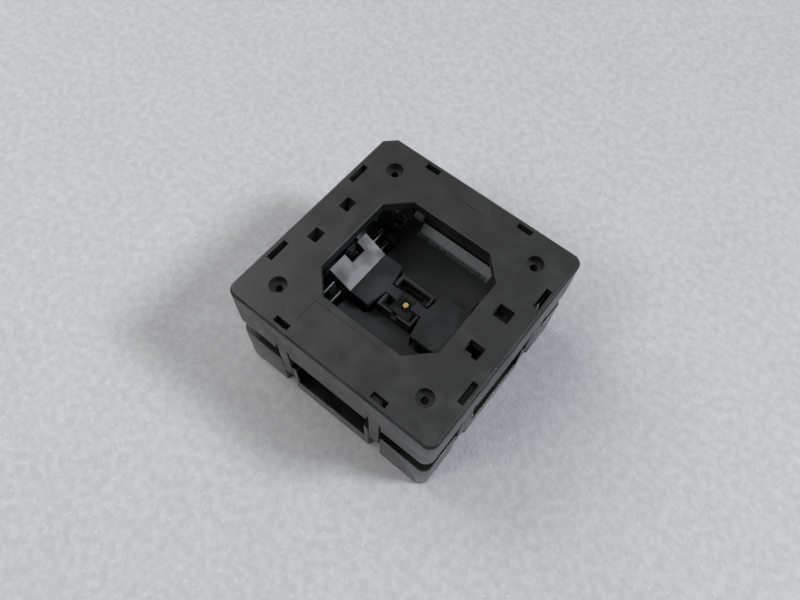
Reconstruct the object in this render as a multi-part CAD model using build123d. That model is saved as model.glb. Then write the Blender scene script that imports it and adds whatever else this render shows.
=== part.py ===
from build123d import *
import math
import os

os.makedirs("parts", exist_ok=True)

# Socket for testing a small square chip package.
# The origin is the middle of the underside, +Z is up and the two latches sit along X.

# Outline and heights
total_height = 25.2
cover_height = 9.7
cover_plate = 2.0
skirt_wall = 1.0
corner_radius = 1.8
key_chamfer = 2.0
edge_break = 0.4
block_top = 10.3
deck_thickness = 2.4

# How far cuts run past a face, and how far joined pieces run into each other
overrun = 1.0
lap = 0.2

# From the comb ribs outwards to the skirt
comb_corner = 5.15
comb_depth = 2.8
comb_to_deck_edge = 0.2
spring_inset = 1.4
spring_to_outline = 6.0

# Window in the cover
window_half_x = 12.0
window_half_y = 11.85
window_corner = 4.0
window_chamfer = 0.15

# Legs of the cover: on the sides facing Y and on the sides facing X
leg_y_centre = 9.9
leg_y_width = 2.1
leg_x_centre = 10.3
leg_x_width = 3.6
leg_bottom = 6.2
hook_height = 1.6
hook_reach = 1.0
hook_nose = 0.4
hook_rise = 0.96
relief_width = 0.5
relief_height = 2.0
slot_y_width = 2.9
slot_x_width = 4.2
slot_depth_way = 1.1

# Round recesses over the springs and small square holes
recess_radius = 1.55
recess_depth = 1.3
recess_hole_radius = 0.68
boss_radius = 2.6
boss_sides = 16
small_hole_sides = 12
boss_length = 2.2
square_left = (-17.65, -15.7)
square_right = (14.75, 17.55)
square_y = (2.8, 5.3)
square_tab = (1.45, 0.8)
square_tab_drop = 0.9

# Two plain fields sunk into the cover: centre and size
field_small = (0.0, 15.9, 7.0, 3.0)
field_large = (-0.25, -15.45, 16.5, 4.5)
field_depth = 0.12

# Base housing
channel_gap = 0.25
channel_depth = 1.1
ledge_gap = 0.1
catch_depth = 2.3
post_width = 0.9
window_sill = 4.2
window_wall = 0.6
window_wall_top = 17.5
window_wall_root = 1.0
spring_floor = 4.5
spring_pocket_gap = 0.34
pocket_sides = 24
block_wall = 1.1
window_depth_y = 5.6
window_depth_x = 5.0
hollow_corner = 1.4
mount_hole_radius = 0.8
mount_hole_depth = 3.0
foot_chamfer = 0.4

# Springs
spring_radius = 3.35
spring_wire = 0.8
spring_turns = 5
spring_steps = 8
spring_wire_sides = 6

# Deck with the ears that hold the pivot pins
latch_pocket_inner = 4.3
latch_pocket_half = 5.5
latch_pocket_slant = 1.2
latch_pocket_lead = 0.84
comb_to_pin_pocket = 0.15
pin_pocket_x = (9.6, 13.5)
pin_groove_depth = 0.5
spring_hole_gap = 0.1
ear_thickness = 1.1
ear_radius = 1.2

# Slotted fins of the cover that push the cam pins
ear_to_fin = 0.2
fin_thickness = 1.1
fin_x = (11.3, 14.3)
fin_below_cam = 1.45
fin_clearance = 0.2
fin_slot_ends = 8

# Latches and their pins, with points of the arm and of the belly seen from the pins
pivot_x = 10.8
pivot_above_deck = 1.2
cam_out = 1.55
cam_rise = 1.55
pin_radius = 0.5
pin_hole_sides = 12
pin_end_gap = 0.05
pivot_running_gap = 0.04
cam_slot_gap = 0.1
plate_rise = 1.75
plate_thickness = 1.2
plate_outer = 8.8
plate_inner = 4.0
plate_inner_side = 4.8
plate_half = 4.9
tongue_half = 0.95
tongue_tip = 1.45
tongue_bevel = 0.25
shoulder_width = 0.6
hub_radius = 1.25
hub_side_gap = 0.2
cam_hub_radius = 1.1
arm_tip = (2.6, 4.3)
arm_lower = (3.1, 3.1)
arm_heel = (2.5, 1.1)
belly_at_cam = 0.2
belly_outer = (0.5, 1.15)
belly_inner = (0.6, 1.05)
belly_root = 0.4
latch_notch_y = (-0.9, 2.5)
latch_notch_inner = 11.6

# Nest for the package
nest_half = 3.7
nest_wall = 0.65
nest_height = 3.1
seat_height = 0.8
nest_gap_x = 1.2
nest_gap_y = 0.55
nest_lead = 0.3
mark_place = (0.85, 4.95)
mark_size = 0.75

# Centre contact
insert_half = 1.1
insert_below_seat = 0.05
insert_edge = 0.1
barrel_radius = 0.8
barrel_sides = 16
barrel_bottom = 3.0
barrel_floor = 0.4
barrel_below_insert = 0.1
contact_radius = 0.52
contact_gap = 0.05
contact_above_seat = 0.25
contact_bottom = 4.2
contact_tip_slope = 0.2
nest_slot_half = 1.95
nest_slot_middle = 2.6
nest_slot_width = 0.7
nest_slots = 8
nest_blade_below_seat = 0.3

# Combs and their contacts
pitch = 0.5
slot_width = 0.25
slots_long = 31
comb_end = 0.5
rib_depth = 1.4
rib_slot_depth = 1.15
rib_height = 2.0
band_height = 3.2
comb_short_depth = 2.4
comb_short_from = 5.6
short_band_rise = 0.7
strip_width = 0.5
strip_height = 1.2
slots_short = 4
blade_width = 0.15
blade_depth = 0.6
blade_below_rib = 0.3
blade_bottom = 0.05
trench_end = 0.2
trench_width = 1.0

# Underside
stopper_thickness = 1.0
stopper_gap = 0.1
stopper_margin = 0.2
stopper_lift = 0.1
screw_beside = 1.55
screw_behind = 0.9
screw_radius = 0.6
screw_head_radius = 1.15
screw_head_height = 0.9
screw_head_gap = 0.15
screw_lift = 0.1
screw_below_deck_top = 1.3
screw_sides = 12

# Places that follow from the sizes above
comb_long_half = slots_long * pitch / 2 + comb_end
comb_inner = comb_long_half + comb_corner
pin_pocket_half = comb_long_half + comb_to_pin_pocket
deck_half = comb_inner + comb_depth + comb_to_deck_edge
spring_place = deck_half - spring_inset
half = spring_place + spring_to_outline
skirt_bottom = total_height - cover_height
plate_under = total_height - cover_plate
skirt_inner = half - skirt_wall
slot_inner = skirt_inner - hook_reach
deck_top = block_top + deck_thickness
seat_top = deck_top + seat_height
nest_top = deck_top + nest_height
insert_top = seat_top - insert_below_seat
contact_top = seat_top + contact_above_seat
nest_blade_top = seat_top - nest_blade_below_seat
rib_top = block_top + rib_height
band_top = block_top + band_height
blade_top = rib_top - blade_below_rib
screw_top = deck_top - screw_below_deck_top
pivot_z = deck_top + pivot_above_deck
cam_x = pivot_x + cam_out
cam_z = pivot_z + cam_rise
plate_top = pivot_z + plate_rise
ear_y = (pin_pocket_half, pin_pocket_half + ear_thickness)
fin_y = (ear_y[1] + ear_to_fin, ear_y[1] + ear_to_fin + fin_thickness)
pivot_pin_half = ear_y[1] - pin_end_gap
cam_pin_half = fin_y[1] - pin_end_gap
spring_pocket_radius = spring_radius + spring_wire / 2 + spring_pocket_gap
rib_middle = comb_inner + rib_depth / 2
comb_short_inner = deck_half - comb_short_depth
short_rib_middle = comb_short_inner + rib_depth / 2
trench_half = slots_long * pitch / 2 + trench_end
stopper_half = trench_half + stopper_margin
stopper_arm = deck_half - stopper_margin
screw_place = (stopper_half + screw_beside, comb_inner - screw_behind)


def block(x0, x1, y0, y1, z0, z1):
    """Box between two corners."""
    size = (x1 - x0, y1 - y0, z1 - z0)
    middle = ((x0 + x1) / 2, (y0 + y1) / 2, (z0 + z1) / 2)
    return Pos(*middle) * Box(*size)


def rod(x, y, z0, z1, radius):
    """Upright cylinder."""
    return Pos(x, y, (z0 + z1) / 2) * Cylinder(radius, z1 - z0)


def prism(x, y, z0, z1, radius, sides):
    """Upright prism with flat sides, its corners on the given radius."""
    return Pos(x, y, z0) * extrude(RegularPolygon(radius, sides), amount=z1 - z0)


def rod_y(x, z, y0, y1, radius):
    """Cylinder along Y."""
    return Pos(x, (y0 + y1) / 2, z) * Rot(90, 0, 0) * Cylinder(radius, y1 - y0)


def pin_hole(x, z, y0, y1):
    """Hole along Y whose flats grip a pin."""
    outline = RegularPolygon(pin_radius, pin_hole_sides, major_radius=False)
    return Pos(x, y1, z) * Rot(90, 0, 0) * extrude(outline, amount=y1 - y0)


def side_profile(points, y0, y1):
    """Outline given as X and Z, pushed along Y."""
    wire = Polyline(*[(x, 0, z) for x, z in points], close=True)
    solid = extrude(make_face(wire), amount=y1 - y0, dir=(0, 1, 0))
    return Pos(0, y0, 0) * solid


def plan_profile(points, z0, z1):
    """Outline given as X and Y, pushed upwards."""
    wire = Polyline(*[(x, y, z0) for x, y in points], close=True)
    return extrude(make_face(wire), amount=z1 - z0, dir=(0, 0, 1))


def square_body(reach, z0, z1, radius, key_cut):
    """Square block with the cut key corner and three round corners."""
    body = block(-reach, reach, -reach, reach, z0, z1)
    left_uprights = body.edges().filter_by(Axis.Z).sort_by(Axis.X)[:2]
    body = chamfer(left_uprights.sort_by(Axis.Y)[-1], key_cut)
    corners = []
    for edge in body.edges().filter_by(Axis.Z):
        place = edge.center()
        if abs(place.X) + abs(place.Y) > 2 * reach - key_cut / 2:
            corners.append(edge)
    return fillet(corners, radius)


def four_ways(shape):
    """The shape and its mirror images on all four corners."""
    pair = [shape, mirror(shape, Plane.YZ)]
    return pair + [mirror(s, Plane.XZ) for s in pair]


def both_sides(shape):
    """The shape on the right and its mirror image on the left."""
    return [shape, mirror(shape, Plane.YZ)]


def front_and_back(shape):
    """The shape at the back and its mirror image at the front."""
    return [shape, mirror(shape, Plane.XZ)]


def save(shape, name):
    """Write one piece to its own file."""
    shape.label = name
    export_step(shape, "parts/" + name + ".step")


# Cover
cover = square_body(half, skirt_bottom, total_height, corner_radius, key_chamfer)
cover = chamfer(cover.faces().sort_by(Axis.Z)[-1].edges(), edge_break)
hollow = block(-skirt_inner, skirt_inner, -skirt_inner, skirt_inner, skirt_bottom - overrun, plate_under)
key_upright = hollow.edges().filter_by(Axis.Z).sort_by(Axis.X)[:2].sort_by(Axis.Y)[-1]
hollow = chamfer(key_upright, key_chamfer)
cover -= hollow
window = block(
    -window_half_x,
    window_half_x,
    -window_half_y,
    window_half_y,
    plate_under - overrun,
    total_height + overrun,
)
cover -= chamfer(window.edges().filter_by(Axis.Z), window_corner)
rim = cover.faces().filter_by(Axis.Z).sort_by(Axis.Z)[-1].inner_wires()
cover = chamfer(rim[0].edges(), window_chamfer)

leg_y = block(
    leg_y_centre - leg_y_width / 2,
    leg_y_centre + leg_y_width / 2,
    skirt_inner,
    half,
    leg_bottom,
    skirt_bottom + relief_height,
)
hook_points = [
    (skirt_inner + lap, leg_bottom),
    (skirt_inner - hook_nose, leg_bottom),
    (skirt_inner - hook_reach, leg_bottom + hook_rise),
    (skirt_inner - hook_reach, leg_bottom + hook_height),
    (skirt_inner + lap, leg_bottom + hook_height),
]
hook_y = side_profile(hook_points, 0, leg_y_width)
hook_y = Pos(leg_y_centre + leg_y_width / 2, 0, 0) * Rot(0, 0, 90) * hook_y
leg_x = block(
    skirt_inner,
    half,
    leg_x_centre - leg_x_width / 2,
    leg_x_centre + leg_x_width / 2,
    leg_bottom,
    skirt_bottom + relief_height,
)
hook_x = side_profile(hook_points, leg_x_centre - leg_x_width / 2, leg_x_centre + leg_x_width / 2)

for side in (-1, 1):
    slit = leg_y_centre + side * (leg_y_width + relief_width) / 2
    relief_y = block(
        slit - relief_width / 2,
        slit + relief_width / 2,
        skirt_inner - overrun,
        half + overrun,
        skirt_bottom - overrun,
        skirt_bottom + relief_height,
    )
    slit = leg_x_centre + side * (leg_x_width + relief_width) / 2
    relief_x = block(
        skirt_inner - overrun,
        half + overrun,
        slit - relief_width / 2,
        slit + relief_width / 2,
        skirt_bottom - overrun,
        skirt_bottom + relief_height,
    )
    for cut in four_ways(relief_y) + four_ways(relief_x):
        cover -= cut
for piece in four_ways(leg_y) + four_ways(hook_y) + four_ways(leg_x) + four_ways(hook_x):
    cover += piece

slot_y = block(
    leg_y_centre - slot_y_width / 2,
    leg_y_centre + slot_y_width / 2,
    slot_inner,
    slot_inner + slot_depth_way,
    plate_under - overrun,
    total_height + overrun,
)
slot_x = block(
    slot_inner,
    slot_inner + slot_depth_way,
    leg_x_centre - slot_x_width / 2,
    leg_x_centre + slot_x_width / 2,
    plate_under - overrun,
    total_height + overrun,
)
boss = prism(
    spring_place,
    spring_place,
    plate_under - boss_length,
    plate_under + lap,
    boss_radius,
    boss_sides,
)
recess = rod(spring_place, spring_place, total_height - recess_depth, total_height + overrun, recess_radius)
recess_hole = prism(
    spring_place,
    spring_place,
    plate_under - boss_length - overrun,
    total_height,
    recess_hole_radius,
    small_hole_sides,
)
for cut in four_ways(slot_y) + four_ways(slot_x):
    cover -= cut
for piece in four_ways(boss):
    cover += piece
for cut in four_ways(recess) + four_ways(recess_hole):
    cover -= cut
for y_side in (-1, 1):
    y0, y1 = sorted((y_side * square_y[0], y_side * square_y[1]))
    cover -= block(square_left[0], square_left[1], y0, y1, plate_under - overrun, total_height + overrun)
    cover -= block(square_right[0], square_right[1], y0, y1, plate_under - overrun, total_height + overrun)
cover += block(
    square_right[0] - lap,
    square_right[0] + square_tab[0],
    -square_y[1] - lap,
    square_tab[1] - square_y[1],
    plate_under,
    total_height - square_tab_drop,
)
for x, y, width, depth in (field_small, field_large):
    cover -= block(
        x - width / 2,
        x + width / 2,
        y - depth / 2,
        y + depth / 2,
        total_height - field_depth,
        total_height + overrun,
    )

cam_radius = math.hypot(cam_out, cam_rise)
slot_radius = pin_radius + cam_slot_gap
slot_start = cam_x
slot_end = pivot_x + cam_radius
slot_points = []
for i in range(fin_slot_ends + 1):
    turn = math.pi * (i / fin_slot_ends - 0.5)
    slot_points.append((slot_end + slot_radius * math.cos(turn), cam_z + slot_radius * math.sin(turn)))
for i in range(fin_slot_ends + 1):
    turn = math.pi * (i / fin_slot_ends + 0.5)
    slot_points.append((slot_start + slot_radius * math.cos(turn), cam_z + slot_radius * math.sin(turn)))
fin = block(fin_x[0], fin_x[1], fin_y[0], fin_y[1], cam_z - fin_below_cam, plate_under + lap)
fin -= side_profile(slot_points, fin_y[0] - overrun, fin_y[1] + overrun)
for piece in four_ways(fin):
    cover += piece
save(cover, "cover")

# Base housing
base = square_body(half, 0, block_top, corner_radius, key_chamfer)
base = chamfer(base.faces().sort_by(Axis.Z)[0].edges(), foot_chamfer)
catch_top = leg_bottom + hook_height + ledge_gap
channel_y0 = leg_y_centre - leg_y_width / 2 - channel_gap
channel_y1 = leg_y_centre + leg_y_width / 2 + channel_gap
channel_x0 = leg_x_centre - leg_x_width / 2 - channel_gap
channel_x1 = leg_x_centre + leg_x_width / 2 + channel_gap
cuts = []
cuts += four_ways(
    block(channel_y0, channel_y1, half - channel_depth, half + overrun, -overrun, block_top + overrun)
)
cuts += four_ways(block(channel_y0, channel_y1, half - catch_depth, half + overrun, -overrun, catch_top))
cuts += four_ways(
    block(half - channel_depth, half + overrun, channel_x0, channel_x1, -overrun, block_top + overrun)
)
cuts += four_ways(block(half - catch_depth, half + overrun, channel_x0, channel_x1, -overrun, catch_top))
side_window_y = channel_y0 - post_width
side_window_x = channel_x0 - post_width
wall_outer = deck_half + window_wall
window_back_y = half - window_depth_y
window_back_x = half - window_depth_x
wall_foot = block_top - window_wall_root
for wall in front_and_back(
    block(-channel_y0, channel_y0, deck_half, wall_outer, wall_foot, window_wall_top)
):
    base += wall
for wall in both_sides(
    block(deck_half, wall_outer, -channel_x0, channel_x0, wall_foot, window_wall_top)
):
    base += wall
cuts += front_and_back(
    block(-side_window_y, side_window_y, wall_outer, half + overrun, window_sill, block_top + overrun)
)
cuts += front_and_back(
    block(-side_window_y, side_window_y, window_back_y, half + overrun, window_sill, wall_foot)
)
cuts += both_sides(
    block(wall_outer, half + overrun, -side_window_x, side_window_x, window_sill, block_top + overrun)
)
cuts += both_sides(
    block(window_back_x, half + overrun, -side_window_x, side_window_x, window_sill, wall_foot)
)
hollow_end = half - block_wall
hollow = block(
    channel_y1 + block_wall,
    hollow_end,
    channel_x1 + block_wall,
    hollow_end,
    spring_floor + block_wall,
    block_top + overrun,
)
hollow = chamfer(hollow.edges().filter_by(Axis.Z).sort_by(SortBy.DISTANCE)[-1], hollow_corner)
cuts += four_ways(hollow)
cuts += four_ways(
    prism(
        spring_place,
        spring_place,
        spring_floor,
        block_top + overrun,
        spring_pocket_radius,
        pocket_sides,
    )
)
cuts += four_ways(rod(spring_place, spring_place, -overrun, mount_hole_depth, mount_hole_radius))
cuts += front_and_back(
    block(
        -trench_half,
        trench_half,
        rib_middle - trench_width / 2,
        rib_middle + trench_width / 2,
        0,
        block_top + overrun,
    )
)
cuts += both_sides(
    block(
        short_rib_middle - trench_width / 2,
        short_rib_middle + trench_width / 2,
        -trench_half,
        trench_half,
        0,
        block_top + overrun,
    )
)
cuts.append(block(-stopper_half, stopper_half, -stopper_arm, stopper_arm, -overrun, stopper_thickness))
cuts.append(block(-stopper_arm, stopper_arm, -stopper_half, stopper_half, -overrun, stopper_thickness))
cuts.append(prism(0, 0, barrel_bottom, block_top + overrun, barrel_radius, barrel_sides))
cuts += four_ways(
    prism(screw_place[0], screw_place[1], 0, block_top + overrun, screw_radius, screw_sides)
)
cuts += four_ways(
    prism(
        screw_place[0],
        screw_place[1],
        -overrun,
        screw_head_height + screw_head_gap,
        screw_head_radius + screw_head_gap,
        screw_sides,
    )
)
nest_slot_x = block(
    -nest_slot_half,
    nest_slot_half,
    nest_slot_middle - nest_slot_width / 2,
    nest_slot_middle + nest_slot_width / 2,
    -overrun,
    nest_top,
)
nest_slot_y = block(
    nest_slot_middle - nest_slot_width / 2,
    nest_slot_middle + nest_slot_width / 2,
    -nest_slot_half,
    nest_slot_half,
    -overrun,
    nest_top,
)
nest_slot_cuts = front_and_back(nest_slot_x) + both_sides(nest_slot_y)
cuts += nest_slot_cuts
for cut in cuts:
    base -= cut
save(base, "base_housing")

# Deck plate
deck = block(-deck_half, deck_half, -deck_half, deck_half, block_top, deck_top)
cuts = []
cuts += four_ways(
    prism(
        spring_place,
        spring_place,
        block_top - overrun,
        deck_top + overrun,
        spring_pocket_radius + spring_hole_gap,
        pocket_sides,
    )
)
pocket = [
    (latch_pocket_inner, latch_pocket_half - latch_pocket_slant),
    (latch_pocket_inner + latch_pocket_lead, latch_pocket_half),
    (deck_half + overrun, latch_pocket_half),
    (deck_half + overrun, -latch_pocket_half),
    (latch_pocket_inner + latch_pocket_lead, -latch_pocket_half),
    (latch_pocket_inner, latch_pocket_slant - latch_pocket_half),
]
cuts += both_sides(plan_profile(pocket, block_top - overrun, deck_top + overrun))
cuts += both_sides(
    block(
        pin_pocket_x[0],
        pin_pocket_x[1],
        -pin_pocket_half,
        pin_pocket_half,
        block_top - overrun,
        deck_top + overrun,
    )
)
ear_outer = pivot_x + ear_radius
cuts += four_ways(
    block(
        ear_outer,
        pin_pocket_x[1],
        pin_pocket_half - overrun,
        fin_y[0],
        deck_top - pin_groove_depth,
        deck_top + overrun,
    )
)
cuts += four_ways(
    block(
        fin_x[0] - fin_clearance,
        fin_x[1] + fin_clearance,
        fin_y[0] - fin_clearance,
        fin_y[1] + fin_clearance,
        block_top - overrun,
        deck_top + overrun,
    )
)
cuts += front_and_back(
    block(
        -comb_long_half,
        comb_long_half,
        comb_inner,
        deck_half + overrun,
        block_top - overrun,
        deck_top + overrun,
    )
)
cuts += both_sides(
    block(
        comb_short_inner,
        deck_half + overrun,
        -comb_long_half,
        comb_long_half,
        block_top - overrun,
        deck_top + overrun,
    )
)
cuts.append(prism(0, 0, block_top - overrun, deck_top + overrun, barrel_radius, barrel_sides))
cuts.append(
    plan_profile(
        [
            (mark_place[0] - mark_size, mark_place[1] - mark_size / 2),
            (mark_place[0] + mark_size, mark_place[1] - mark_size / 2),
            (mark_place[0], mark_place[1] + mark_size / 2),
        ],
        block_top - overrun,
        deck_top + overrun,
    )
)
cuts += nest_slot_cuts
ear = block(pivot_x - ear_radius, ear_outer, ear_y[0], ear_y[1], deck_top - lap, pivot_z)
ear += rod_y(pivot_x, pivot_z, ear_y[0], ear_y[1], ear_radius)
ear_bore = pin_hole(pivot_x, pivot_z, ear_y[0] - overrun, ear_y[1] + overrun)
for cut in cuts:
    deck -= cut
for piece in four_ways(ear):
    deck += piece
for cut in four_ways(ear_bore):
    deck -= cut
screw_hole = prism(
    screw_place[0], screw_place[1], block_top - overrun, screw_top, screw_radius, screw_sides
)
for cut in four_ways(screw_hole):
    deck -= cut
save(deck, "deck_plate")

# Combs along the front and the back
comb_profile = [
    (comb_inner, block_top),
    (comb_inner, rib_top),
    (comb_inner + rib_depth, rib_top),
    (comb_inner + comb_depth, band_top),
    (comb_inner + comb_depth, block_top),
]
comb = side_profile(comb_profile, -comb_long_half, comb_long_half)
comb = Rot(0, 0, 90) * comb
for i in range(slots_long):
    x = (i - (slots_long - 1) / 2) * pitch
    comb -= block(
        x - slot_width / 2,
        x + slot_width / 2,
        comb_inner - overrun,
        comb_inner + rib_slot_depth,
        block_top - overrun,
        rib_top + overrun,
    )
save(comb, "comb_back")
save(mirror(comb, Plane.XZ), "comb_front")

# Short combs beside the latches, tied by a low strip behind the latch
short_profile = [
    (comb_short_inner, block_top),
    (comb_short_inner, rib_top),
    (comb_short_inner + rib_depth, rib_top),
    (deck_half, rib_top + short_band_rise),
    (deck_half, block_top),
]
short = side_profile(short_profile, comb_short_from, comb_long_half)
short += side_profile(short_profile, -comb_long_half, -comb_short_from)
short += block(
    deck_half - strip_width,
    deck_half,
    -comb_short_from,
    comb_short_from,
    block_top,
    block_top + strip_height,
)
short_places = []
for i in range(slots_short):
    y = (slots_long - 1) / 2 * pitch - i * pitch
    short_places += [y, -y]
for y in short_places:
    short -= block(
        comb_short_inner - overrun,
        comb_short_inner + rib_slot_depth,
        y - slot_width / 2,
        y + slot_width / 2,
        block_top - overrun,
        rib_top + overrun,
    )
save(short, "comb_right")
save(mirror(short, Plane.YZ), "comb_left")

# Contact blades standing in the comb slots
blades = []
for i in range(slots_long):
    x = (i - (slots_long - 1) / 2) * pitch
    blades.append(
        block(
            x - blade_width / 2,
            x + blade_width / 2,
            rib_middle - blade_depth / 2,
            rib_middle + blade_depth / 2,
            blade_bottom,
            blade_top,
        )
    )
row = Compound(children=blades)
save(row, "contacts_back")
save(mirror(row, Plane.XZ), "contacts_front")
blades = []
for y in short_places:
    blades.append(
        block(
            short_rib_middle - blade_depth / 2,
            short_rib_middle + blade_depth / 2,
            y - blade_width / 2,
            y + blade_width / 2,
            blade_bottom,
            blade_top,
        )
    )
row = Compound(children=blades)
save(row, "contacts_right")
save(mirror(row, Plane.YZ), "contacts_left")

# Nest guide
nest = block(-nest_half, nest_half, -nest_half, nest_half, deck_top, nest_top)
pocket_half = nest_half - nest_wall
nest -= block(-pocket_half, pocket_half, -pocket_half, pocket_half, seat_top, nest_top + overrun)
nest -= block(
    -nest_half - overrun,
    nest_half + overrun,
    -nest_gap_x,
    nest_gap_x,
    seat_top,
    nest_top + overrun,
)
nest -= block(-nest_gap_y, nest_gap_y, -nest_half - overrun, 0, seat_top, nest_top + overrun)
lead = loft(
    [
        Plane.XY.offset(nest_top - nest_lead) * Rectangle(2 * pocket_half, 2 * pocket_half),
        Plane.XY.offset(nest_top) * Rectangle(
            2 * (pocket_half + nest_lead), 2 * (pocket_half + nest_lead)
        ),
    ]
)
nest -= lead
nest -= block(-insert_half, insert_half, -insert_half, insert_half, deck_top - overrun, nest_top)
for cut in nest_slot_cuts:
    nest -= cut
save(nest, "nest_guide")

# Contact blades under the edges of the package
blades = []
for i in range(nest_slots):
    x = (i - (nest_slots - 1) / 2) * pitch
    blade = block(
        x - blade_width / 2,
        x + blade_width / 2,
        nest_slot_middle - blade_depth / 2,
        nest_slot_middle + blade_depth / 2,
        blade_bottom,
        nest_blade_top,
    )
    blades += [Rot(0, 0, 90 * side) * blade for side in range(4)]
save(Compound(children=blades), "nest_contacts")

# Centre contact with its insert and barrel
insert = block(-insert_half, insert_half, -insert_half, insert_half, deck_top, insert_top)
insert = chamfer(insert.faces().sort_by(Axis.Z)[-1].edges(), insert_edge)
insert -= prism(0, 0, deck_top - overrun, insert_top + overrun, barrel_radius, barrel_sides)
save(insert, "center_contact_insert")
barrel_top = insert_top - barrel_below_insert
barrel = prism(0, 0, barrel_bottom, barrel_top, barrel_radius, barrel_sides)
barrel -= rod(0, 0, barrel_bottom + barrel_floor, insert_top, contact_radius + contact_gap)
save(barrel, "center_contact_barrel")
contact = rod(0, 0, contact_bottom, contact_top, contact_radius)
contact = chamfer(contact.edges().sort_by(Axis.Z)[-1], contact_tip_slope)
save(contact, "center_contact")

# Right latch, mirrored for the left one
plate_under_z = plate_top - plate_thickness
latch_profile = [
    (plate_inner, plate_top),
    (plate_outer, plate_top),
    (pivot_x + arm_tip[0], pivot_z + arm_tip[1]),
    (pivot_x + arm_lower[0], pivot_z + arm_lower[1]),
    (pivot_x + arm_heel[0], pivot_z + arm_heel[1]),
    (cam_x + belly_at_cam, cam_z - cam_hub_radius),
    (pivot_x + belly_outer[0], pivot_z - belly_outer[1]),
    (pivot_x - belly_inner[0], pivot_z - belly_inner[1]),
    (plate_outer + belly_root, plate_under_z),
    (plate_inner, plate_under_z),
]
latch = side_profile(latch_profile, -plate_half, plate_half)
hub_half = latch_pocket_half - hub_side_gap
hub = rod_y(pivot_x, pivot_z, -hub_half, hub_half, hub_radius)
cam_hub = rod_y(cam_x, cam_z, -plate_half, plate_half, cam_hub_radius)
latch += hub
latch += cam_hub
for side in (-1, 1):
    corner = [
        (plate_inner - overrun, side * (tongue_half + shoulder_width)),
        (plate_inner, side * (tongue_half + shoulder_width)),
        (plate_inner_side, side * plate_half),
        (plate_inner_side, side * (plate_half + overrun)),
        (plate_inner - overrun, side * (plate_half + overrun)),
    ]
    latch -= plan_profile(corner, plate_under_z - overrun, plate_top + overrun)
tongue = side_profile(
    [
        (plate_inner + lap, plate_top),
        (tongue_tip + tongue_bevel, plate_top),
        (tongue_tip, plate_top - tongue_bevel),
        (tongue_tip, plate_under_z),
        (plate_inner + lap, plate_under_z),
    ],
    -tongue_half,
    tongue_half,
)
latch += tongue
latch -= block(
    latch_notch_inner,
    pivot_x + arm_lower[0] + overrun,
    latch_notch_y[0],
    latch_notch_y[1],
    pivot_z,
    pivot_z + arm_tip[1] + overrun,
)
latch -= rod_y(pivot_x, pivot_z, -fin_y[0], fin_y[0], pin_radius + pivot_running_gap)
latch -= pin_hole(cam_x, cam_z, -fin_y[0], fin_y[0])
save(latch, "latch_right")
save(mirror(latch, Plane.YZ), "latch_left")

# Steel pins
pivot_pin = rod_y(pivot_x, pivot_z, -pivot_pin_half, pivot_pin_half, pin_radius)
save(pivot_pin, "pivot_pin_right")
save(mirror(pivot_pin, Plane.YZ), "pivot_pin_left")
cam_pin = rod_y(cam_x, cam_z, -cam_pin_half, cam_pin_half, pin_radius)
save(cam_pin, "cam_pin_right")
save(mirror(cam_pin, Plane.YZ), "cam_pin_left")

# Return springs
spring_length = plate_under - spring_floor
count = spring_turns * spring_steps
rise = (spring_length - spring_wire) / count
coil = []
for i in range(count + 1):
    turn = 2 * math.pi * i / spring_steps
    x = spring_radius * math.cos(turn)
    y = spring_radius * math.sin(turn)
    coil.append((x, y, spring_wire / 2 + i * rise))
path = Polyline(*coil)
wire_plane = Plane(origin=path @ 0, z_dir=path % 0)
spring = sweep(
    wire_plane * RegularPolygon(spring_wire / 2, spring_wire_sides),
    path=path,
    transition=Transition.RIGHT,
)
corners = [(-1, -1), (1, -1), (1, 1), (-1, 1)]
for number, corner in enumerate(corners):
    place = Pos(corner[0] * spring_place, corner[1] * spring_place, spring_floor)
    save(place * spring, "return_spring_" + str(number + 1))

# Contact stopper plate and deck screws in the underside
stopper_long = stopper_half - stopper_gap
stopper_wide = stopper_arm - stopper_gap
stopper = block(-stopper_long, stopper_long, -stopper_wide, stopper_wide, stopper_lift, stopper_thickness)
stopper += block(-stopper_wide, stopper_wide, -stopper_long, stopper_long, stopper_lift, stopper_thickness)
for cut in front_and_back(
    block(
        stopper_gap - trench_half,
        trench_half - stopper_gap,
        rib_middle - blade_depth / 2 - stopper_gap,
        rib_middle + blade_depth / 2 + stopper_gap,
        -overrun,
        stopper_thickness + overrun,
    )
):
    stopper -= cut
for cut in both_sides(
    block(
        short_rib_middle - blade_depth / 2 - stopper_gap,
        short_rib_middle + blade_depth / 2 + stopper_gap,
        stopper_gap - trench_half,
        trench_half - stopper_gap,
        -overrun,
        stopper_thickness + overrun,
    )
):
    stopper -= cut
for cut in nest_slot_cuts:
    stopper -= cut
save(stopper, "contact_stopper_plate")

screw = prism(
    screw_place[0],
    screw_place[1],
    screw_lift,
    screw_lift + screw_head_height,
    screw_head_radius,
    screw_sides,
)
screw += prism(screw_place[0], screw_place[1], screw_lift, screw_top, screw_radius, screw_sides)
save(Compound(children=four_ways(screw)), "deck_screws")
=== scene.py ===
import bpy
import bmesh
import math
from mathutils import Matrix, Vector


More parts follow.
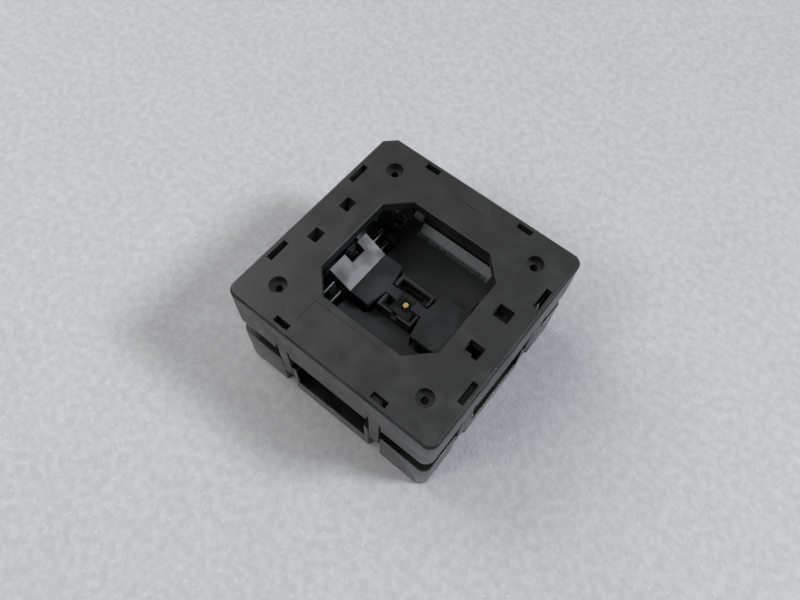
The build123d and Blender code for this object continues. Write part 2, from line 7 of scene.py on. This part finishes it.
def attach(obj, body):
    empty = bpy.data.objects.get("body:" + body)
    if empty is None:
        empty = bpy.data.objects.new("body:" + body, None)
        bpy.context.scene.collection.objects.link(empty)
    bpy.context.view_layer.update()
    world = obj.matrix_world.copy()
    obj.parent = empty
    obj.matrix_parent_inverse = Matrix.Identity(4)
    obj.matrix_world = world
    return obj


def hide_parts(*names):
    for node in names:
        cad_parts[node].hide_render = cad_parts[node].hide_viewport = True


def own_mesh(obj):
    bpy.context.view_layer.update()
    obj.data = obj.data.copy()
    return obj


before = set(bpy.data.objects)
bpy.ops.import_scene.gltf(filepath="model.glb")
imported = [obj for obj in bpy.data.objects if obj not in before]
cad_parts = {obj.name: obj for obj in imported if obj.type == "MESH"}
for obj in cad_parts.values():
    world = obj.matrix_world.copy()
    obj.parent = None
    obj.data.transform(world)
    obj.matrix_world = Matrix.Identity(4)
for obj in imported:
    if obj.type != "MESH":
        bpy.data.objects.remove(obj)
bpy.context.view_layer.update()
print("frame loaded")

mm = 0.001
scene = bpy.context.scene


# a shader socket that sums are written on
class Wire:
    def __init__(self, finish, socket):
        self.finish = finish
        self.socket = socket

    def __add__(self, other):
        return self.finish.sum("ADD", self, other)

    def __radd__(self, other):
        return self.finish.sum("ADD", other, self)

    def __sub__(self, other):
        return self.finish.sum("SUBTRACT", self, other)

    def __rsub__(self, other):
        return self.finish.sum("SUBTRACT", other, self)

    def __mul__(self, other):
        return self.finish.sum("MULTIPLY", self, other)

    def __rmul__(self, other):
        return self.finish.sum("MULTIPLY", other, self)

    def __pow__(self, other):
        return self.finish.sum("POWER", self, other)

    def __rpow__(self, other):
        return self.finish.sum("POWER", other, self)

    def __lt__(self, other):
        return self.finish.sum("LESS_THAN", self, other)


class Finish:
    def __init__(self, name):
        self.material = bpy.data.materials.new(name)
        self.material.use_nodes = True
        self.tree = self.material.node_tree
        self.tree.nodes.clear()
        self.place = self.node("TexCoord", {}, {}, "Object")

    def node(self, kind, settings, inputs, out=0):
        made = self.tree.nodes.new("ShaderNode" + kind)
        for key, value in settings.items():
            if key == "stops":
                ramp = made.color_ramp
                while len(ramp.elements) < len(value):
                    ramp.elements.new(1.0)
                for element, (place, level) in zip(ramp.elements, value):
                    element.position = place
                    element.color = (level, level, level, 1.0)
            else:
                setattr(made, key, value)
        for key, value in inputs.items():
            if isinstance(value, Wire):
                self.tree.links.new(value.socket, made.inputs[key])
            else:
                made.inputs[key].default_value = value
        return Wire(self, made.outputs[out]) if made.outputs else made

    def sum(self, operation, first, second):
        return self.node("Math", {"operation": operation}, {0: first, 1: second})

    def noise(self, scale, detail=3.0, stretch=(1.0, 1.0, 1.0), turn=(0.0, 0.0, 0.0)):
        mapped = self.node("Mapping", {}, {"Vector": self.place, "Scale": stretch, "Rotation": turn})
        return self.node("TexNoise", {}, {"Vector": mapped, "Scale": scale, "Detail": detail})

    # noise cut off below one level and full above another
    def patches(self, scale, detail, low, high, stretch=(1.0, 1.0, 1.0), turn=(0.0, 0.0, 0.0)):
        stops = ((low, 0.0), (high, 1.0))
        return self.node("ValToRGB", {"stops": stops}, {"Fac": self.noise(scale, detail, stretch, turn)})

    def tint(self, mask, low, high):
        low, high = [value if isinstance(value, Wire) else (*value, 1.0) for value in (low, high)]
        mixed = {"Factor": mask, 6: low, 7: high}  # 6 and 7 are the two colours
        return self.node("Mix", {"data_type": "RGBA"}, mixed, 2)

    # 1 below the top height and within a square with rounded corners of this half width
    def insideOf(self, half, top):
        x, y, z = [self.node("SeparateXYZ", {}, {"Vector": self.place}, way) for way in "XYZ"]
        squareness = 24.0
        reach = (x * (1 / half)) ** squareness + (y * (1 / half)) ** squareness
        return (reach < 1.0) * (z < top)

    def bump(self, height, strength, distance):
        return self.node("Bump", {}, {"Height": height, "Strength": strength, "Distance": distance})

    def shade(self, **inputs):
        named = {key.replace("_", " "): value for key, value in inputs.items()}
        shader = self.node("BsdfPrincipled", {}, named)
        self.node("OutputMaterial", {}, {"Surface": shader})
        return self.material


# pattern sizes are noise scales per metre; scratches run along and across the part
plasticPattern = {
    "drift": 90.0,
    "cloud": 260.0,
    "spark": 9000.0,
    "alongScratches": 900.0,
    "acrossScratches": 1100.0,
    "dust": 2600.0,
    "narrowing": 0.12,
    "alongTurn": (0.0, 0.0, 0.95),
    "acrossTurn": (0.0, 0.0, 0.30),
    "bumpDepth": 0.02 * mm,
    # near-black colour of the painted shade inside hollows
    "paintedHollowShade": (0.002, 0.002, 0.002),
}


# moulded plastic: fine spark grain, slow colour drift, a few rubbed and scratched places;
# the walls inside a hollow get painted shade (a darker colour), and are duller where the look says so
def mouldedPlastic(name, look):
    f = Finish(name)
    p = plasticPattern
    drift = f.noise(p["drift"], 2.0)
    cloud = f.patches(p["cloud"], 5.0, 0.42, 0.68)
    fine = f.noise(p["spark"], 2.0)
    along = f.patches(p["alongScratches"], 3.0, 0.72, 0.76, (1.0, p["narrowing"], 1.0), p["alongTurn"])
    across = f.patches(p["acrossScratches"], 3.0, 0.73, 0.77, (0.10, 1.0, 1.0), p["acrossTurn"])
    lines = (along + across) * look["scratches"]
    dust = f.patches(p["dust"], 1.0, 0.74, 0.78)
    mask = cloud * 0.35 + drift * 0.25 + lines * 0.5 + dust * 0.3
    wear = 0.08 * look.get("wear", 1.0)
    roughness = look["rough"] + cloud * wear + drift * 0.06 - lines * 0.1 + fine * 0.04
    colour = f.tint(mask, look["colour"], look["rubbed"])
    # painted shade: inside the hollow the colour is pulled towards near-black, standing in for the shade in
    # holes, recesses and the lower nest
    if "hollowHalf" in look:
        inside = f.insideOf(look["hollowHalf"], look["hollowTop"])
        colour = f.tint(inside * 0.8, colour, p["paintedHollowShade"])
        roughness = roughness + inside * look["hollowDulled"]
    return f.shade(
        Base_Color=colour,
        Roughness=roughness,
        Specular_IOR_Level=look.get("shine", 0.5),
        Normal=f.bump(fine * look["grain"] + lines * -0.3, 0.35, p["bumpDepth"]),
    )


# ground metal: fine turning lines round the part and a light oil film
def groundMetal(name, look):
    f = Finish(name)
    lines = f.noise(look["lines"], 3.0, look["stretch"])
    film = f.patches(700.0, 4.0, 0.40, 0.72)
    specks = f.patches(5200.0, 1.0, 0.70, 0.76)
    mask = lines * 0.35 + film * 0.4 + specks * 0.3
    return f.shade(
        Base_Color=f.tint(mask, look["colour"], look["dark"]),
        Metallic=1.0,
        Roughness=look["rough"] + lines * 0.14 + film * 0.1,
        Normal=f.bump(lines, 0.25, 0.01 * mm),
    )


coverLook = {
    "colour": (0.0072, 0.0072, 0.0067),
    "rubbed": (0.0260, 0.0255, 0.0235),
    "rough": 0.27,
    "grain": 1.0,
    "scratches": 1.2,
    "shine": 1.0,
    "wear": 2.6,
    "hollowHalf": 20.9 * mm,
    "hollowTop": 24.95 * mm,
    "hollowDulled": 0.2,
}
baseLook = {
    "colour": (0.013, 0.013, 0.013),
    "rubbed": (0.032, 0.032, 0.031),
    "rough": 0.20,
    "grain": 0.6,
    "scratches": 0.2,
    "shine": 1.0,
    "hollowHalf": 20.9 * mm,
    "hollowTop": 24.95 * mm,
    "hollowDulled": 0.0,
}
deckLook = {
    "colour": (0.032, 0.033, 0.033),
    "rubbed": (0.064, 0.065, 0.065),
    "rough": 0.45,
    "grain": 0.8,
    "scratches": 0.2,
}
nestLook = {
    "colour": (0.020, 0.020, 0.021),
    "rubbed": (0.048, 0.049, 0.050),
    "rough": 0.38,
    "grain": 0.6,
    "scratches": 0.2,
    "hollowHalf": 30.0 * mm,
    "hollowTop": 15.7 * mm,
    "hollowDulled": 0.0,
}
# the comb's light grey is partly painted reflection: its colour is lightened to stand in for the glare on the
# comb band
combLook = {
    "colour": (0.185, 0.193, 0.199),
    "rubbed": (0.300, 0.309, 0.316),
    "rough": 0.34,
    "grain": 0.6,
    "scratches": 0.6,
    "wear": 2.0,
}
# the latch's lighter, bluish colour is partly painted highlight standing in for the glare on the arms; its
# bright patches are partly wear and partly painted highlight
latchLook = {
    "colour": (0.014, 0.0155, 0.016),
    "rubbed": (0.085, 0.090, 0.094),
    "rough": 0.28,
    "grain": 0.7,
    "scratches": 1.6,
    "shine": 0.45,
    "wear": 2.0,
}
# painted shade: the metal barrel gets a near-black plastic finish, standing in for the shade on its rim; the
# centre insert shares this finish
barrelLook = {
    "colour": (0.005, 0.005, 0.005),
    "rubbed": (0.012, 0.012, 0.012),
    "rough": 0.60,
    "grain": 0.4,
    "scratches": 0.1,
    "shine": 0.25,
}
# painted shade: the pin steel is coloured far darker than bare steel, standing in for the shade over the
# pins; the narrow bright line comes from the low roughness
pinLook = {
    "colour": (0.12, 0.12, 0.12),
    "dark": (0.05, 0.05, 0.049),
    "rough": 0.20,
    "lines": 2600.0,
    "stretch": (0.15, 3.0, 0.15),
}
# painted shade: the spring steel is coloured far darker than bare steel, standing in for the shade the
# springs sit in
springLook = {
    "colour": (0.12, 0.12, 0.118),
    "dark": (0.06, 0.06, 0.058),
    "rough": 0.38,
    "lines": 1800.0,
    "stretch": (1.0, 1.0, 1.0),
}
screwLook = {
    "colour": (0.34, 0.34, 0.34),
    "dark": (0.16, 0.16, 0.16),
    "rough": 0.34,
    "lines": 2200.0,
    "stretch": (1.0, 1.0, 1.0),
}
goldLook = {
    "colour": (1.0, 0.82, 0.38),
    "dark": (0.94, 0.68, 0.26),
    "rough": 0.50,
    "lines": 3600.0,
    "stretch": (1.0, 1.0, 0.3),
}
bladeLook = {
    "colour": (0.060, 0.048, 0.032),
    "dark": (0.030, 0.025, 0.018),
    "rough": 0.50,
    "lines": 3000.0,
    "stretch": (1.0, 1.0, 0.3),
}
finishes = {
    "cover": mouldedPlastic("coverPlastic", coverLook),
    "base": mouldedPlastic("basePlastic", baseLook),
    "deck": mouldedPlastic("deckPlastic", deckLook),
    "nest": mouldedPlastic("nestPlastic", nestLook),
    "comb": mouldedPlastic("combPlastic", combLook),
    "latch": mouldedPlastic("latchPlastic", latchLook),
    "pin": groundMetal("pinSteel", pinLook),
    "spring": groundMetal("springSteel", springLook),
    "screw": groundMetal("screwSteel", screwLook),
    "gold": groundMetal("contactGold", goldLook),
    "blade": groundMetal("contactBlade", bladeLook),
    "dark": mouldedPlastic("barrelPaintedShade", barrelLook),
}
nodesOfFinish = {
    "cover": ["cover"],
    "base": ["base_housing", "contact_stopper_plate"],
    "deck": ["deck_plate"],
    "comb": ["comb_back", "comb_front", "comb_left", "comb_right"],
    "nest": ["nest_guide"],
    "dark": ["center_contact_insert", "center_contact_barrel"],
    "gold": ["center_contact"],
    "blade": ["contacts_back", "contacts_front", "contacts_left", "contacts_right", "nest_contacts"],
    "screw": ["deck_screws"],
    "pin": ["pivot_pin_left", "pivot_pin_right", "cam_pin_left", "cam_pin_right"],
    "latch": ["latch_left", "latch_right"],
    "spring": ["return_spring_1", "return_spring_2", "return_spring_3", "return_spring_4"],
}
for kind, nodes in nodesOfFinish.items():
    for node in nodes:
        mesh = bpy.data.objects[node].data
        mesh.materials.clear()
        mesh.materials.append(finishes[kind])
print("finishes made")

shading = {
    "sharpEdge": math.radians(32),  # steeper edges are drawn sharp
    "mergeWithin": 0.0005 * mm,
    "flatWithin": math.radians(0.6),  # faces nearer to one plane than this are joined
    "roundFrom": math.radians(1),  # faces that meet between these two angles belong to a round
    "roundTo": math.radians(16),
    "easeAbove": math.radians(35),  # edges steeper than this are eased
}


def keep(mesh, name, body, material, node):
    piece = bpy.data.objects.new(name, mesh)
    scene.collection.objects.link(piece)
    mesh.materials.clear()
    mesh.materials.append(material)
    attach(piece, body)
    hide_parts(node)
    return piece


# a piece on its body from a bmesh, with steep edges sharp
def meshPiece(bm, name, body, material, node):
    for edge in bm.edges:
        edge.smooth = len(edge.link_faces) != 2 or edge.calc_face_angle() < shading["sharpEdge"]
    mesh = bpy.data.meshes.new(name)
    bm.to_mesh(mesh)
    bm.free()
    return keep(mesh, name, body, material, node)


def normalKey(face):
    return tuple(round(v, 2) for v in face.normal)


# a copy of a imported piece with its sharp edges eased, as a mould leaves them
def easedCopy(node, name, body, material, width, steps):
    bm = bmesh.new()
    bm.from_mesh(bpy.data.objects[node].data)
    for face in bm.faces:
        face.smooth = False
    bmesh.ops.remove_doubles(bm, verts=bm.verts[:], dist=shading["mergeWithin"])
    bmesh.ops.dissolve_limit(bm, angle_limit=shading["flatWithin"], verts=bm.verts[:], edges=bm.edges[:])
    joined = [edge for edge in bm.edges if len(edge.link_faces) == 2]
    for edge in joined:
        if shading["roundFrom"] < edge.calc_face_angle() < shading["roundTo"]:
            for face in edge.link_faces:
                face.smooth = True
    steep = [edge for edge in joined if edge.calc_face_angle() > shading["easeAbove"]]
    bm.normal_update()
    flatWays = {normalKey(face) for face in bm.faces if not face.smooth}
    bmesh.ops.bevel(
        bm,
        geom=steep,
        offset=width,
        offset_type="OFFSET",
        affect="EDGES",
        segments=steps,
        profile=0.5,
        material=-1,
        clamp_overlap=True,
    )
    bm.normal_update()
    for face in bm.faces:
        if normalKey(face) not in flatWays:
            face.smooth = True
    return meshPiece(bm, name, body, material, node)


# a round piece turned about an axis from a half outline of radius and length pairs
def turnedPiece(outline, place, sides, name, body, material, node):
    bm = bmesh.new()
    verts = [bm.verts.new(place @ Vector((radius, 0.0, along))) for radius, along in outline]
    edges = [bm.edges.new(pair) for pair in zip(verts, verts[1:])]
    bmesh.ops.spin(
        bm,
        geom=edges,
        cent=place @ Vector((0, 0, 0)),
        axis=place.to_3x3() @ Vector((0, 0, 1)),
        angle=2 * math.pi,
        steps=sides,
        use_merge=True,
        use_duplicate=False,
    )
    bmesh.ops.remove_doubles(bm, verts=bm.verts[:], dist=0.0002 * mm)
    bmesh.ops.recalc_face_normals(bm, faces=bm.faces[:])
    for face in bm.faces:
        face.smooth = True
    return meshPiece(bm, name, body, material, node)


# half outline of a rod with rounded rims: radius, two ends and the rim's rounding
def roundedRod(radius, low, high, rim, steps=4):
    turns = [math.pi / 2 * i / steps for i in range(steps + 1)]
    lower = [(radius - rim + rim * math.sin(turn), low + rim - rim * math.cos(turn)) for turn in turns]
    upper = [(radius - rim + rim * math.cos(turn), high - rim + rim * math.sin(turn)) for turn in turns]
    return [(0.0, low)] + lower + upper + [(0.0, high)]


# return springs: round wire with closed end turns
spring = {
    "coilRadius": 3.35 * mm,
    "wireRadius": 0.40 * mm,
    "floor": 4.5 * mm,
    "roof": 23.2 * mm,
    "turns": 5,
    "closedTurns": 1,  # at each end
    "stepsPerTurn": 36,
    "wireSides": 10,
    "place": 15.0 * mm,
    "travel": 2.5 * mm,
}


def makeSpring(name, node, x, y):
    bm = bmesh.new()
    low = spring["floor"] + spring["wireRadius"]
    high = spring["roof"] - spring["wireRadius"]
    start = Matrix.Translation((x + spring["coilRadius"], y, low)) @ Matrix.Rotation(math.pi / 2, 4, "X")
    ring = bmesh.ops.create_circle(
        bm, segments=spring["wireSides"], radius=spring["wireRadius"], matrix=start
    )
    profile = list({edge for vert in ring["verts"] for edge in vert.link_edges})
    closedTurns = spring["closedTurns"]
    closedRise = 2 * spring["wireRadius"] * closedTurns
    openTurns = spring["turns"] - 2 * closedTurns
    openRise = high - low - 2 * closedRise
    for turns, rise in [(closedTurns, closedRise), (openTurns, openRise), (closedTurns, closedRise)]:
        steps = turns * spring["stepsPerTurn"]
        swept = bmesh.ops.spin(
            bm,
            geom=profile,
            cent=(x, y, 0),
            axis=(0, 0, 1),
            dvec=(0, 0, rise / steps),
            angle=2 * math.pi * turns,
            steps=steps,
            use_merge=False,
            use_duplicate=False,
        )
        profile = [part for part in swept["geom_last"] if isinstance(part, bmesh.types.BMEdge)]
    bmesh.ops.remove_doubles(bm, verts=bm.verts[:], dist=0.001 * mm)
    bmesh.ops.holes_fill(bm, edges=[edge for edge in bm.edges if edge.is_boundary], sides=0)
    bmesh.ops.recalc_face_normals(bm, faces=bm.faces[:])
    for face in bm.faces:
        face.smooth = len(face.verts) == 4
    mesh = bpy.data.meshes.new(name)
    bm.to_mesh(mesh)
    bm.free()
    piece = keep(mesh, name, "socket_base", finishes["spring"], node)
    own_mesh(piece)


for number, (sx, sy) in enumerate([(-1, -1), (1, -1), (1, 1), (-1, 1)], start=1):
    x, y = sx * spring["place"], sy * spring["place"]
    makeSpring("springWire" + str(number), "return_spring_" + str(number), x, y)
print("springs wound")

# steel pins with rounded ends; pivot and cam are the places of the axes in X and Z
pins = {
    "radius": 0.495 * mm,
    "pivotHalf": 9.44 * mm,
    "camHalf": 10.74 * mm,
    "rim": 0.12 * mm,
    "sides": 48,
    "pivot": (10.8 * mm, 13.9 * mm),
    "cam": (12.35 * mm, 15.45 * mm),
}
for side, sign in (("left", -1), ("right", 1)):
    for kind, body in (("pivot", "socket_base"), ("cam", side + "_latch")):
        x, z = pins[kind]
        half = pins[kind + "Half"]
        turnedPiece(
            roundedRod(pins["radius"], -half, half, pins["rim"]),
            Matrix.Translation((sign * x, 0, z)) @ Matrix.Rotation(math.pi / 2, 4, "X"),
            pins["sides"],
            kind + "PinSteel" + side.capitalize(),
            body,
            finishes["pin"],
            kind + "_pin_" + side,
        )
print("pins turned")

# centre contact: gold pin with a crowned tip
centreTip = {
    "radius": 0.52 * mm,
    "bottom": 4.2 * mm,
    "top": 13.75 * mm,
    "crown": 0.03 * mm,
    "rim": 0.04 * mm,
    "sides": 48,
}
tipShoulder = centreTip["top"] - centreTip["crown"]
tipOutline = roundedRod(centreTip["radius"], centreTip["bottom"], tipShoulder, centreTip["rim"])
tipOutline[-1] = (0.0, centreTip["top"])
turnedPiece(
    tipOutline,
    Matrix.Identity(4),
    centreTip["sides"],
    "centreTip",
    "centre_plunger",
    finishes["gold"],
    "center_contact",
)
print("centre contact turned")

# moulded pieces with their edges eased: width of the rounding in each
easing = {
    "cover": 0.16 * mm,
    "base": 0.14 * mm,
    "latch": 0.10 * mm,
    "nest": 0.05 * mm,
    "deck": 0.06 * mm,
    "comb": 0.02 * mm,
    "steps": 3,
}
eased = [
    ("cover", "coverEased", "press_cover", "cover", "black_cover"),
    ("base_housing", "baseEased", "socket_base", "base", "black_base"),
    ("latch_left", "latchLeftEased", "left_latch", "latch", "latch_plastic"),
    ("latch_right", "latchRightEased", "right_latch", "latch", "latch_plastic"),
    ("nest_guide", "nestEased", "socket_base", "nest", "dark_nest"),
    ("deck_plate", "deckEased", "socket_base", "deck", "dark_deck"),
    ("comb_back", "combBackEased", "socket_base", "comb", "comb_plastic"),
    ("comb_front", "combFrontEased", "socket_base", "comb", "comb_plastic"),
]
for node, name, body, kind, slotName in eased:
    easedCopy(node, name, body, finishes[kind], easing[kind], easing["steps"])
print("edges eased")

# floor: a sheet of fibrous paper
paper = {
    "colour": (0.600, 0.596, 0.616),
    "pale": (0.80, 0.80, 0.81),
    "rough": 0.60,
    "halfWidth": 1.5,
    "below": 0.02 * mm,
}
paperFinish = Finish("paperFloor")
mottle = paperFinish.noise(60.0, 4.0)
fibres = paperFinish.patches(620.0, 4.0, 0.36, 0.64)
# the pale flecks are painted glints, standing in for the sparkle on the paper
paintedGlintFlecks = paperFinish.patches(1500.0, 1.0, 0.66, 0.74)
paperFinish.shade(
    Base_Color=paperFinish.tint(mottle * 0.30 + fibres * 0.45 + paintedGlintFlecks * 0.9, paper["colour"], paper["pale"]),
    Roughness=paper["rough"],
    Normal=paperFinish.bump(paperFinish.noise(1300.0, 4.0), 1.0, 0.12 * mm),
)
sheetMesh = bpy.data.meshes.new("paperSheet")
sheet = bmesh.new()
bmesh.ops.create_grid(sheet, x_segments=2, y_segments=2, size=paper["halfWidth"])
sheet.to_mesh(sheetMesh)
sheet.free()
sheetMesh.materials.append(paperFinish.material)
floor = bpy.data.objects.new("paperSheet", sheetMesh)
scene.collection.objects.link(floor)
floor.location.z = -paper["below"]

# camera: it looks at the target from this distance, turned about its own axis by the roll
shot = {
    "target": Vector((1.864, -4.608, 25.2)) * mm,
    "distance": 105.9 * mm,
    "azimuth": math.radians(34.919),
    "elevation": math.radians(63.274),
    "roll": math.radians(4.243),
    "lens": 29.70,
    "sensor": 36.0,
    "nearest": 1 * mm,
    "farthest": 5.0,
}
level = math.cos(shot["elevation"])
back = Vector(
    (
        level * math.sin(shot["azimuth"]),
        -level * math.cos(shot["azimuth"]),
        math.sin(shot["elevation"]),
    )
)
right = (-back).cross(Vector((0, 0, 1))).normalized()
up = right.cross(-back)
tiltedRight = math.cos(shot["roll"]) * right + math.sin(shot["roll"]) * up
tiltedUp = math.cos(shot["roll"]) * up - math.sin(shot["roll"]) * right
turn = Matrix((tiltedRight, tiltedUp, back)).transposed().to_4x4()
cameraData = bpy.data.cameras.new("photoCamera")
cameraData.lens = shot["lens"]
cameraData.sensor_width = shot["sensor"]
cameraData.sensor_fit = "HORIZONTAL"
cameraData.clip_start = shot["nearest"]
cameraData.clip_end = shot["farthest"]
camera = bpy.data.objects.new("photoCamera", cameraData)
camera.matrix_world = Matrix.Translation(shot["target"] + back * shot["distance"]) @ turn
scene.collection.objects.link(camera)
scene.camera = camera

# square lamps: place and aim in metres, width, power in watts and colour
lamps = {
    "skyPanel": ((-0.30, 0.44, 1.07), (0, 0, 0), 1.1, 1.15, (0.99, 1.0, 0.985)),
    "ceilingPanel": ((-0.52, -0.03, 0.50), (0, 0, 0), 0.40, 1.45, (1.0, 0.995, 0.985)),
    "frontPanel": ((-0.24, -0.46, 0.60), (0, 0, 0), 0.26, 1.2, (1.0, 1.0, 0.99)),
    "windowPanel": ((0.62, 0.37, 0.70), (0, 0, 0.015), 0.22, 5.2, (0.91, 0.95, 1.0)),
}
for name, (place, aim, width, power, colour) in lamps.items():
    lampData = bpy.data.lights.new(name, "AREA")
    lampData.shape = "RECTANGLE"
    lampData.size = width
    lampData.size_y = width
    lampData.energy = power
    lampData.color = colour
    lamp = bpy.data.objects.new(name, lampData)
    facing = (Vector(aim) - Vector(place)).to_track_quat("-Z", "Y").to_matrix().to_4x4()
    lamp.matrix_world = Matrix.Translation(place) @ facing
    scene.collection.objects.link(lamp)

room = {"colour": (0.90, 0.92, 0.95, 1.0), "strength": 0.12}
world = bpy.data.worlds.new("softRoom")
scene.world = world
world.use_nodes = True
background = world.node_tree.nodes["Background"]
background.inputs["Color"].default_value = room["colour"]
background.inputs["Strength"].default_value = room["strength"]
scene.view_settings.view_transform = "Standard"
print("studio set")
